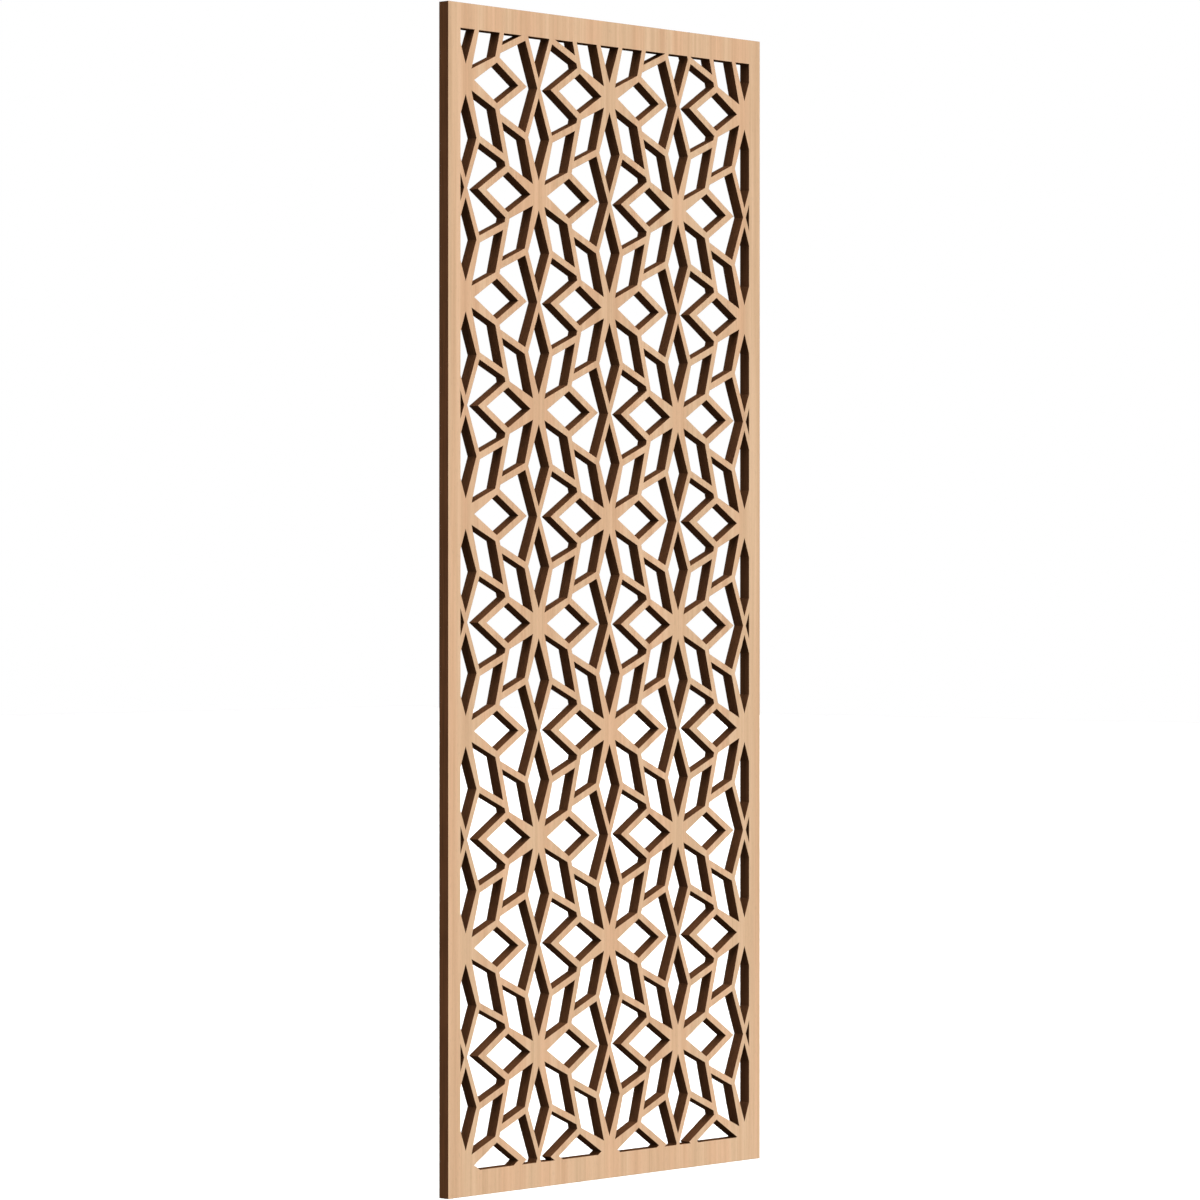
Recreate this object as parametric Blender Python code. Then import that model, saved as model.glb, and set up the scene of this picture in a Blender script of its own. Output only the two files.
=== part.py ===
"""Fretwork wall panel: one flat board, cut through with a lattice of eight-rayed stars inside a plain border.

X runs along the width, Z up, and the front faces -Y. The origin is on the back face, in the middle of the
top rail, where the panel is fixed to the wall. Lengths are in metres.
"""

import math

import bpy
from mathutils import Vector

MM = 0.001

# The board
WIDTH = 390.5 * MM
HEIGHT = 977.9 * MM
THICKNESS = 10.4 * MM
STILE_WIDTH = 14.5 * MM
RAIL_HEIGHT = 20.9 * MM

# The lattice: stars stand at the corners and in the middle of every cell
CELL_WIDTH = 174.7 * MM
CELL_HEIGHT = 178.1 * MM
FIRST_STAR_DROP = 64.1 * MM  # from the board's top edge to the first star of the middle column
ROW_FALL = 2.0 * MM  # the rows were cut a little out of level: each sinks this much over one cell

# Where the strips meet, as shares of half a cell outwards and upwards from a star
KNOT_OUT = 0.426
KNOT_UP = 0.223
SHOULDER_OUT = 0.174
SHOULDER_UP = 0.533
RIM_POINT_OUT = 0.776
TIE_END = 0.855  # how far along its bar a tie ends

# Widths of the strips of wood between the holes
RAY_ROOT_WIDTH = 10.8 * MM
RAY_END_WIDTH = 5.2 * MM
PETAL_ROOT_WIDTH = 8.8 * MM
PETAL_END_WIDTH = 4.6 * MM
STRUT_WIDTH = 4.7 * MM
RIM_WIDTH = 5.7 * MM
TIE_WIDTH = 5.6 * MM
BAR_WIDTH = 5.2 * MM
CROSSING_SPREAD = 1.7 * MM  # struts meet this far above and below a crossing, which makes its waist narrow

SMALLEST_HOLE_SIDE = 1.0 * MM  # a hole that the border leaves smaller than this square isn't cut

WOOD_COLOUR = (0.72, 0.47, 0.28, 1.0)
WOOD_ROUGHNESS = 0.55


def inset(corners, widths):
    """Corners of the hole inside a loop of strips, given as (width at its start, width at its end)."""
    lines = []
    for index, ((start_width, end_width), start) in enumerate(zip(widths, corners)):
        end = corners[(index + 1) % len(corners)]
        inward = (end - start).orthogonal().normalized()
        first = start + inward * start_width / 2
        last = end + inward * end_width / 2
        lines.append((first, last - first))
    hole = []
    for index, (point, along) in enumerate(lines):
        other_point, other_along = lines[index - 1]
        share = (other_point - point).cross(other_along) / along.cross(other_along)
        hole.append(point + along * share)
    return hole


def mirrored(point, across=1, up=1):
    return Vector((point.x * across, point.y * up))


def star_holes():
    """Every hole that belongs to one star, around the star's centre. All loops run counter-clockwise."""
    half_cell = Vector((CELL_WIDTH, CELL_HEIGHT)) / 2
    star = Vector((0, 0))
    knot = Vector((KNOT_OUT * half_cell.x, KNOT_UP * half_cell.y))
    shoulder = Vector((SHOULDER_OUT * half_cell.x, SHOULDER_UP * half_cell.y))
    rim_point = Vector((RIM_POINT_OUT * half_cell.x, 0))
    strut_top = Vector((0, half_cell.y - CROSSING_SPREAD))
    strut_lean = shoulder.x / (strut_top.y - shoulder.y)
    strut_side = Vector((half_cell.x + CROSSING_SPREAD * strut_lean, 0))
    next_shoulder = half_cell - shoulder
    tie_joint = knot.lerp(half_cell - knot, TIE_END)
    next_tie_joint = half_cell - tie_joint

    ray = (RAY_ROOT_WIDTH, RAY_END_WIDTH)
    petal_side = (PETAL_ROOT_WIDTH, PETAL_END_WIDTH)
    strut = (STRUT_WIDTH, STRUT_WIDTH)
    rim = (RIM_WIDTH, RIM_WIDTH)
    tie = (TIE_WIDTH, TIE_WIDTH)
    bar = (BAR_WIDTH, BAR_WIDTH)

    petal = inset(
        [star, shoulder, strut_top, mirrored(shoulder, across=-1)],
        [petal_side, strut, strut, petal_side[::-1]],
    )
    diamond = inset(
        [star, mirrored(knot, up=-1), rim_point, knot],
        [ray, rim, rim, ray[::-1]],
    )
    leaf = inset(
        [star, knot, tie_joint, shoulder],
        [ray, bar, tie, petal_side[::-1]],
    )
    chevron_half = [strut_side, next_shoulder, next_tie_joint, knot, rim_point]
    chevron = inset(
        chevron_half + [mirrored(corner, up=-1) for corner in chevron_half[-2:0:-1]],
        [strut, tie, bar, rim, rim, bar, tie, strut],
    )

    holes = []
    for side in (1, -1):
        holes.append([mirrored(corner, up=side) for corner in petal])
        holes.append([mirrored(corner, across=side) for corner in diamond])
        holes.append([mirrored(corner, across=side) for corner in chevron])
        for up in (1, -1):
            holes.append([mirrored(corner, side, up) for corner in leaf])
    return holes


def sunk(point):
    """Lower a point of the lattice by the fall of its row."""
    return Vector((point.x, point.y - point.x / CELL_WIDTH * ROW_FALL))


def clip(loop, height):
    """Cut a closed outline along a line: the pieces of it where height(point) is positive."""
    crossings = []
    chains = []
    chain = None
    start = next((i for i, point in enumerate(loop) if height(point) <= 0), None)
    if start is None:
        return [loop]
    for step in range(len(loop)):
        here = loop[(start + step) % len(loop)]
        there = loop[(start + step + 1) % len(loop)]
        if (height(here) > 0) != (height(there) > 0):
            crossing = here.lerp(there, height(here) / (height(here) - height(there)))
            crossings.append(crossing)
            if chain is None:
                chain = [crossing]
            else:
                chains.append(chain + [crossing])
                chain = None
        if chain is not None:
            chain.append(there)
    if not crossings:
        return []
    # Along the line every second stretch lies inside the outline, so it joins two chains there
    direction = max((point - crossings[0] for point in crossings), key=lambda v: v.length)
    order = sorted(range(len(crossings)), key=lambda i: crossings[i].dot(direction))
    partner = {}
    for first, second in zip(order[::2], order[1::2]):
        partner[first] = second
        partner[second] = first
    pieces = []
    waiting = set(range(len(chains)))
    while waiting:
        index = first_chain = waiting.pop()
        piece = list(chains[index])
        while True:
            index = partner[2 * index + 1] // 2
            if index == first_chain:
                break
            waiting.discard(index)
            piece += chains[index]
        pieces.append(piece)
    return pieces


def area(loop):
    return abs(sum(loop[i - 1].cross(loop[i]) for i in range(len(loop)))) / 2


def panel_outlines():
    """The board's edge and every hole, with x from the middle of the board and y from its top edge."""
    half_width = WIDTH / 2
    half_opening = half_width - STILE_WIDTH
    opening_sides = (
        lambda point: point.x + half_opening,
        lambda point: half_opening - point.x,
        lambda point: -RAIL_HEIGHT - point.y,
        lambda point: point.y + HEIGHT - RAIL_HEIGHT,
    )
    board = [(-half_width, -HEIGHT), (half_width, -HEIGHT), (half_width, 0), (-half_width, 0)]
    outlines = [[Vector(corner) for corner in board]]
    columns = math.ceil(WIDTH / CELL_WIDTH) + 1
    rows = math.ceil(2 * HEIGHT / CELL_HEIGHT) + 2
    holes = star_holes()
    for column in range(-columns, columns + 1):
        for row in range(-rows, rows + 1):
            if (column + row) % 2:
                continue
            star = Vector((column * CELL_WIDTH / 2, -FIRST_STAR_DROP - row * CELL_HEIGHT / 2))
            for hole in holes:
                pieces = [[sunk(star + corner) for corner in hole]]
                for side in opening_sides:
                    pieces = [part for piece in pieces for part in clip(piece, side)]
                outlines += [piece for piece in pieces if area(piece) > SMALLEST_HOLE_SIDE ** 2]
    return outlines


def wood_material():
    material = bpy.data.materials.new("light wood")
    material.use_nodes = True
    shader = material.node_tree.nodes["Principled BSDF"]
    shader.inputs["Base Color"].default_value = WOOD_COLOUR
    shader.inputs["Roughness"].default_value = WOOD_ROUGHNESS
    shader.inputs["Metallic"].default_value = 0.0
    return material


def fretwork_panel(collection):
    curve = bpy.data.curves.new("fretwork_panel", "CURVE")
    curve.dimensions = "2D"
    curve.fill_mode = "BOTH"
    curve.extrude = THICKNESS / 2
    for outline in panel_outlines():
        spline = curve.splines.new("POLY")
        spline.points.add(len(outline) - 1)
        for point, corner in zip(spline.points, outline):
            point.co = (corner.x, corner.y, 0, 1)
        spline.use_cyclic_u = True
    curve.materials.append(wood_material())
    panel = bpy.data.objects.new("fretwork_panel", curve)
    panel.rotation_euler.x = math.radians(90)
    panel.location = (0, -THICKNESS / 2, RAIL_HEIGHT / 2)
    collection.objects.link(panel)


def main():
    for leftover in list(bpy.data.objects):
        bpy.data.objects.remove(leftover)
    collection = bpy.data.collections.new("Fretwork wall panel")
    bpy.context.scene.collection.children.link(collection)
    fretwork_panel(collection)


main()
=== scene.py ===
"""Looks of the fretwork wall panel: its finished mesh, its woods, the stage, the light and the camera."""

import math

import bmesh
import bpy
from mathutils import Matrix, Vector

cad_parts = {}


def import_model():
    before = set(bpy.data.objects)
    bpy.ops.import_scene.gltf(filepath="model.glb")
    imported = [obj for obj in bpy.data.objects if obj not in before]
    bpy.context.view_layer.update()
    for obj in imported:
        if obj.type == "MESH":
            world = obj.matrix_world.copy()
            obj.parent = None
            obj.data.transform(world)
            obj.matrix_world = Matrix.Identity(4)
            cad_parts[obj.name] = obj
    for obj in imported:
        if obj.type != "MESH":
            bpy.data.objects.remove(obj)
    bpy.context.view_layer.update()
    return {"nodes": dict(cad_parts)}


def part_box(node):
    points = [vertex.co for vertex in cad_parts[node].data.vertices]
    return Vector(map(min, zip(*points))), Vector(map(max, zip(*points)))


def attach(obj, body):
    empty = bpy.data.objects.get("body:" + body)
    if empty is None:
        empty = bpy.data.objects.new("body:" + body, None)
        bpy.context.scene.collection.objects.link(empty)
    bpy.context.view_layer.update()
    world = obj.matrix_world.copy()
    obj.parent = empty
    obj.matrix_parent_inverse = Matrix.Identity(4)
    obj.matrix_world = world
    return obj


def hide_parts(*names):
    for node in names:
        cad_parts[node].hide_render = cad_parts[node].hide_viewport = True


MM = 0.001

# The photograph's view, with the photo taken as 1200 by 1200 pixels
PHOTO_SIZE = 1200
SENSOR_WIDTH = 36.0
LENS = 144.0
VIEW_TURN = math.radians(47.5)  # the board's width turns away from the picture plane by this much
NEAR_EDGE_PIXEL = 448.2  # where the board's near upright edge stands across the photo
NEAR_EDGE_PIXELS_HIGH = 1198.7
FARTHEST_SEEN = 100.0

# The board's finish
EASE = 0.2 * MM  # radius of the sanded arrises
EASE_STEPS = 2
WELD = 0.001 * MM  # corners closer than this are one
FLAT_FACING = 0.99  # how squarely a facet faces the front or the back: more than this on the flat faces
ARRIS_FACING = 0.75  # and more than this on the facet of an arris next to them
GRAIN_DRIFT = 2 * MM  # how far a grain line may stray to either side as it climbs

# Colours as 8-bit sRGB. Each wood has a light, a middle and a dark tone
FRONT_TONES = ((231, 193, 157), (224, 185, 148), (215, 175, 139))
BACK_TONES = ((222, 186, 150), (214, 176, 139), (204, 165, 127))
TOASTED_TONES = ((190, 149, 112), (181, 140, 103), (171, 130, 95))
CHARRED_BROWN = (80, 51, 32)
CHARRED_DARK = (70, 45, 28)

# Tints and shades that multiply those tones, as linear values
WARM_BAND = (1.0, 0.963, 0.948, 1.0)
COOL_BAND = (0.97, 0.992, 0.992, 1.0)
LATE_GROWTH = (0.95, 0.935, 0.915, 1.0)
PORE_SHADE = 0.88
SCORCH_SHADE = 0.90

# The stage
FLOOR_DROP = 0.55  # the panel hangs on a wall, this far above the floor
FLOOR_SIZE = 60.0
FLOOR_GREY = 0.6  # comes out as white as the backdrop under this light

# The studio's light
FILL = 0.35  # even light from all round
OVERHEAD = 5.0  # a large soft box that fills the top of the sky
OVERHEAD_FROM = math.radians(48.6)  # its edge's elevation
OVERHEAD_BLUR = 0.01  # half the width of its soft edge, as a sine of the elevation
SUN_SPREAD = math.radians(30)


def linear_channel(level):
    share = level / 255
    if share <= 0.04045:
        return share / 12.92
    return ((share + 0.055) / 1.055) ** 2.4


def linear(red, green, blue):
    """An 8-bit sRGB colour as a shader's linear colour."""
    return (linear_channel(red), linear_channel(green), linear_channel(blue), 1.0)


def grey(value):
    return (value, value, value, 1.0)


def add_node(tree, kind, settings=(), inputs=()):
    """A new node. An input may be a plain value or another node's output."""
    node = tree.nodes.new(kind)
    for name, value in dict(settings).items():
        setattr(node, name, value)
    for name, value in dict(inputs).items():
        if isinstance(value, bpy.types.NodeSocket):
            tree.links.new(value, node.inputs[name])
        else:
            node.inputs[name].default_value = value
    return node


# The board's mesh

def front_outlines(node):
    """The closed outlines on the board's front face: its outer edge and the edge of every hole."""
    shape = bmesh.new()
    shape.from_mesh(node.data)
    bmesh.ops.remove_doubles(shape, verts=shape.verts, dist=WELD)
    following = {}
    for face in shape.faces:
        if face.normal.y > -FLAT_FACING:
            continue
        for loop in face.loops:
            if loop.link_loop_radial_next.face.normal.y > -FLAT_FACING:
                following[loop.vert] = loop.link_loop_next.vert
    outlines = []
    while following:
        start, corner = following.popitem()
        outline = [start.co.copy()]
        while corner is not start:
            outline.append(corner.co.copy())
            corner = following.pop(corner)
        outlines.append(outline)
    shape.free()
    return outlines


def outline_curve(name, outlines, thickness):
    """The board drawn flat as a filled curve, with its thickness and its eased arrises."""
    curve = bpy.data.curves.new(name, "CURVE")
    curve.dimensions = "2D"
    curve.fill_mode = "BOTH"
    curve.extrude = thickness / 2 - EASE
    curve.bevel_depth = EASE
    curve.bevel_resolution = EASE_STEPS - 1
    curve.offset = -EASE  # the bevel grows outwards by as much
    for outline in outlines:
        spline = curve.splines.new("POLY")
        spline.points.add(len(outline) - 1)
        for point, corner in zip(spline.points, outline):
            point.co = (corner.x, corner.z, 0, 1)
        spline.use_cyclic_u = True
    return curve


def mesh_of(curve):
    drawn = bpy.data.objects.new(curve.name, curve)
    bpy.context.scene.collection.objects.link(drawn)
    bpy.context.view_layer.update()
    mesh = bpy.data.meshes.new_from_object(drawn.evaluated_get(bpy.context.evaluated_depsgraph_get()))
    bpy.data.objects.remove(drawn)
    return mesh


def is_flat_face(face):
    """Whether a face of the standing board lies in its front or its back."""
    depth = face.verts[0].co.y
    return all(abs(corner.co.y - depth) < WELD for corner in face.verts)


def close_mesh(mesh):
    """Welds the filled faces to the sides, and turns edges so that no triangle is left without area."""
    shape = bmesh.new()
    shape.from_mesh(mesh)
    bmesh.ops.remove_doubles(shape, verts=shape.verts, dist=WELD)
    flat_faces = [face for face in shape.faces if is_flat_face(face)]
    bmesh.ops.beautify_fill(shape, faces=flat_faces, edges=shape.edges)
    bmesh.ops.recalc_face_normals(shape, faces=shape.faces)
    shape.to_mesh(mesh)
    shape.free()
    mesh.shade_flat()


def eased_board(name, node):
    """The same board with every cut arris sanded to a small radius, as one closed mesh."""
    low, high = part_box(node.name)
    curve = outline_curve(name + "_outline", front_outlines(node), thickness=high.y - low.y)
    mesh = mesh_of(curve)
    stand_up = Matrix.Rotation(math.radians(90), 4, "X")
    into_place = Matrix.Translation((0, (low.y + high.y) / 2, 0))
    mesh.transform(into_place @ stand_up)
    close_mesh(mesh)
    mesh.name = name
    board = bpy.data.objects.new(name, mesh)
    bpy.context.scene.collection.objects.link(board)
    return board


def paint_board(board, front, back, toasted, charred):
    """The flat faces keep their wood. The heat of the cut toasts the arrises and chars the walls."""
    materials = [front, back, toasted, charred]
    for material in materials:
        board.data.materials.append(material)
    for face in board.data.polygons:
        facing = abs(face.normal.y)
        if facing < ARRIS_FACING:
            material = charred
        elif facing < FLAT_FACING:
            material = toasted
        elif face.normal.y > 0:
            material = back
        else:
            material = front
        face.material_index = materials.index(material)


# Woods

def grain(tree, place, across, along, detail=2.0, roughness=0.5):
    """Noise drawn out along the board's height: its patches are about across wide and along high."""
    scaled = add_node(tree, "ShaderNodeMapping", inputs={
        "Vector": place,
        "Scale": (1 / across, 1 / across, 1 / along),
    })
    noise = add_node(tree, "ShaderNodeTexNoise", inputs={
        "Vector": scaled.outputs["Vector"],
        "Scale": 1.0,
        "Detail": detail,
        "Roughness": roughness,
    })
    return noise.outputs["Fac"]


def ramp(tree, value, stops):
    """A colour that runs between the stops, each a (position, colour), as value runs from 0 to 1."""
    node = add_node(tree, "ShaderNodeValToRGB", inputs={"Fac": value})
    elements = node.color_ramp.elements
    while len(elements) < len(stops):
        elements.new(0.5)
    for element, (position, colour) in zip(elements, stops):
        element.position = position
        element.color = colour
    return node.outputs["Color"]


def multiply(tree, first, second):
    """The product of two colours that other nodes put out."""
    node = add_node(tree, "ShaderNodeMix", {"data_type": "RGBA", "blend_type": "MULTIPLY"})
    inputs = {socket.identifier: socket for socket in node.inputs}
    inputs["Factor_Float"].default_value = 1.0
    tree.links.new(first, inputs["A_Color"])
    tree.links.new(second, inputs["B_Color"])
    return next(socket for socket in node.outputs if socket.identifier == "Result_Color")


def wandering_place(tree):
    """Object coordinates, shifted sideways a little as they climb, so no grain line is ruler straight."""
    place = add_node(tree, "ShaderNodeTexCoord").outputs["Object"]
    drift = grain(tree, place, across=120 * MM, along=300 * MM, detail=1.0)
    shift = add_node(tree, "ShaderNodeMapRange", inputs={
        "Value": drift,
        "From Min": 0.0,
        "From Max": 1.0,
        "To Min": -GRAIN_DRIFT,
        "To Max": GRAIN_DRIFT,
    })
    offset = add_node(tree, "ShaderNodeCombineXYZ", inputs={"X": shift.outputs["Result"]})
    moved = add_node(tree, "ShaderNodeVectorMath", {"operation": "ADD"}, inputs={
        0: place,
        1: offset.outputs["Vector"],
    })
    return moved.outputs["Vector"]


def new_material(name, roughness, specular):
    material = bpy.data.materials.new(name)
    material.use_nodes = True
    shader = material.node_tree.nodes["Principled BSDF"]
    shader.inputs["Roughness"].default_value = roughness
    shader.inputs["Specular IOR Level"].default_value = specular
    return material, material.node_tree, shader


def add_relief(tree, shader, height, strength, depth):
    bump = add_node(tree, "ShaderNodeBump", inputs={
        "Strength": strength,
        "Distance": depth,
        "Height": height,
    })
    tree.links.new(bump.outputs["Normal"], shader.inputs["Normal"])


def light_wood(name, tones):
    """Pale wood with an upright grain of wide streaks, warm and cool bands, fine lines and pores."""
    light, middle, dark = (linear(*tone) for tone in tones)
    material, tree, shader = new_material(name, roughness=0.5, specular=0.3)
    place = wandering_place(tree)
    streaks = grain(tree, place, across=9 * MM, along=600 * MM, detail=4.0, roughness=0.65)
    bands = grain(tree, place, across=18 * MM, along=800 * MM, detail=1.0)
    lines = grain(tree, place, across=1.6 * MM, along=70 * MM)
    pores = grain(tree, place, across=0.35 * MM, along=5 * MM, detail=1.0)

    colour = ramp(tree, streaks, [(0.34, dark), (0.5, middle), (0.64, light)])
    colour = multiply(tree, colour, ramp(tree, bands, [(0.38, WARM_BAND), (0.62, COOL_BAND)]))
    colour = multiply(tree, colour, ramp(tree, lines, [(0.36, LATE_GROWTH), (0.58, grey(1.0))]))
    colour = multiply(tree, colour, ramp(tree, pores, [(0.30, grey(PORE_SHADE)), (0.36, grey(1.0))]))
    tree.links.new(colour, shader.inputs["Base Color"])
    add_relief(tree, shader, lines, strength=0.25, depth=0.05 * MM)
    return material


def charred_edge(name, brown, dark):
    """Cut walls: dark brown, with the board's own grain showing faintly through the scorch."""
    material, tree, shader = new_material(name, roughness=0.9, specular=0.0)
    place = wandering_place(tree)
    streaks = grain(tree, place, across=1.4 * MM, along=60 * MM)
    scorch = grain(tree, place, across=14 * MM, along=22 * MM)

    colour = ramp(tree, streaks, [(0.32, linear(*dark)), (0.62, linear(*brown))])
    colour = multiply(tree, colour, ramp(tree, scorch, [(0.34, grey(SCORCH_SHADE)), (0.6, grey(1.0))]))
    tree.links.new(colour, shader.inputs["Base Color"])
    add_relief(tree, shader, streaks, strength=0.4, depth=0.08 * MM)
    return material


# The stage, the light and the camera

def pale_floor(bottom):
    """A floor that the camera sees. It casts no shadow and no light on the panel."""
    mesh = bpy.data.meshes.new("floor")
    shape = bmesh.new()
    bmesh.ops.create_grid(shape, x_segments=1, y_segments=1, size=FLOOR_SIZE / 2)
    shape.to_mesh(mesh)
    shape.free()
    floor = bpy.data.objects.new("floor", mesh)
    floor.location = (0, 0, bottom - FLOOR_DROP)
    bpy.context.scene.collection.objects.link(floor)
    material, _, shader = new_material("pale floor", roughness=0.9, specular=0.1)
    shader.inputs["Base Color"].default_value = grey(FLOOR_GREY)
    mesh.materials.append(material)
    floor.visible_diffuse = False
    floor.visible_glossy = False
    floor.visible_shadow = False


def studio_world():
    """White to look at. As light it is an even fill, with a large soft box overhead."""
    world = bpy.data.worlds.new("studio")
    bpy.context.scene.world = world
    world.use_nodes = True
    tree = world.node_tree
    tree.nodes.clear()
    direction = add_node(tree, "ShaderNodeTexCoord").outputs["Generated"]
    height = add_node(tree, "ShaderNodeSeparateXYZ", inputs={"Vector": direction}).outputs["Z"]
    box_edge = math.sin(OVERHEAD_FROM)
    strength = add_node(tree, "ShaderNodeMapRange", inputs={
        "Value": height,
        "From Min": box_edge - OVERHEAD_BLUR,
        "From Max": box_edge + OVERHEAD_BLUR,
        "To Min": FILL,
        "To Max": OVERHEAD,
    }).outputs["Result"]
    light = add_node(tree, "ShaderNodeBackground", inputs={"Color": grey(1.0), "Strength": strength})
    backdrop = add_node(tree, "ShaderNodeBackground", inputs={"Color": grey(1.0), "Strength": 1.0})
    seen = add_node(tree, "ShaderNodeLightPath").outputs["Is Camera Ray"]
    either = add_node(tree, "ShaderNodeMixShader", inputs={
        0: seen,
        1: light.outputs["Background"],
        2: backdrop.outputs["Background"],
    })
    add_node(tree, "ShaderNodeOutputWorld", inputs={"Surface": either.outputs["Shader"]})


def soft_sun(name, travel, strength):
    """An even light from far away. Its wide spread makes its shadows soft."""
    lamp = bpy.data.lights.new(name, "SUN")
    lamp.energy = strength
    lamp.angle = SUN_SPREAD
    light = bpy.data.objects.new(name, lamp)
    light.rotation_euler = Vector(travel).to_track_quat("-Z", "Y").to_euler()
    bpy.context.scene.collection.objects.link(light)


def photo_camera(low, high):
    """Level, at the board's middle height, and as far off as the near edge's height in the photo says."""
    forward = Vector((math.sin(VIEW_TURN), math.cos(VIEW_TURN), 0))
    right = Vector((math.cos(VIEW_TURN), -math.sin(VIEW_TURN), 0))
    pixels_per_radian = LENS / SENSOR_WIDTH * PHOTO_SIZE
    distance = pixels_per_radian * (high.z - low.z) / NEAR_EDGE_PIXELS_HIGH
    aside = (NEAR_EDGE_PIXEL - PHOTO_SIZE / 2) / pixels_per_radian * distance
    near_edge = Vector((low.x, low.y, (low.z + high.z) / 2))

    lens = bpy.data.cameras.new("camera")
    lens.sensor_width = SENSOR_WIDTH
    lens.lens = LENS
    lens.clip_end = FARTHEST_SEEN
    camera = bpy.data.objects.new("camera", lens)
    camera.location = near_edge - forward * distance - right * aside
    camera.rotation_euler = forward.to_track_quat("-Z", "Y").to_euler()
    bpy.context.scene.collection.objects.link(camera)
    bpy.context.scene.camera = camera


def main():
    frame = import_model()
    node = frame["nodes"]["fretwork_panel"]
    low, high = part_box("fretwork_panel")

    board = eased_board("fretwork_board", node)
    paint_board(
        board,
        front=light_wood("light wood", FRONT_TONES),
        back=light_wood("back wood", BACK_TONES),
        toasted=light_wood("toasted arris", TOASTED_TONES),
        charred=charred_edge("charred edge", CHARRED_BROWN, CHARRED_DARK),
    )
    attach(board, "root")
    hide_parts("fretwork_panel")

    pale_floor(low.z)
    studio_world()
    soft_sun("side light", travel=(0.92, 0.12, -0.37), strength=1.22)
    soft_sun("front light", travel=(0.10, 0.90, -0.42), strength=1.0)
    soft_sun("back light", travel=(-0.48, -0.86, -0.16), strength=1.2)
    photo_camera(low, high)

    scene = bpy.context.scene
    scene.view_settings.view_transform = "Standard"
    scene.view_settings.look = "None"
    scene.view_settings.exposure = 0.0


main()
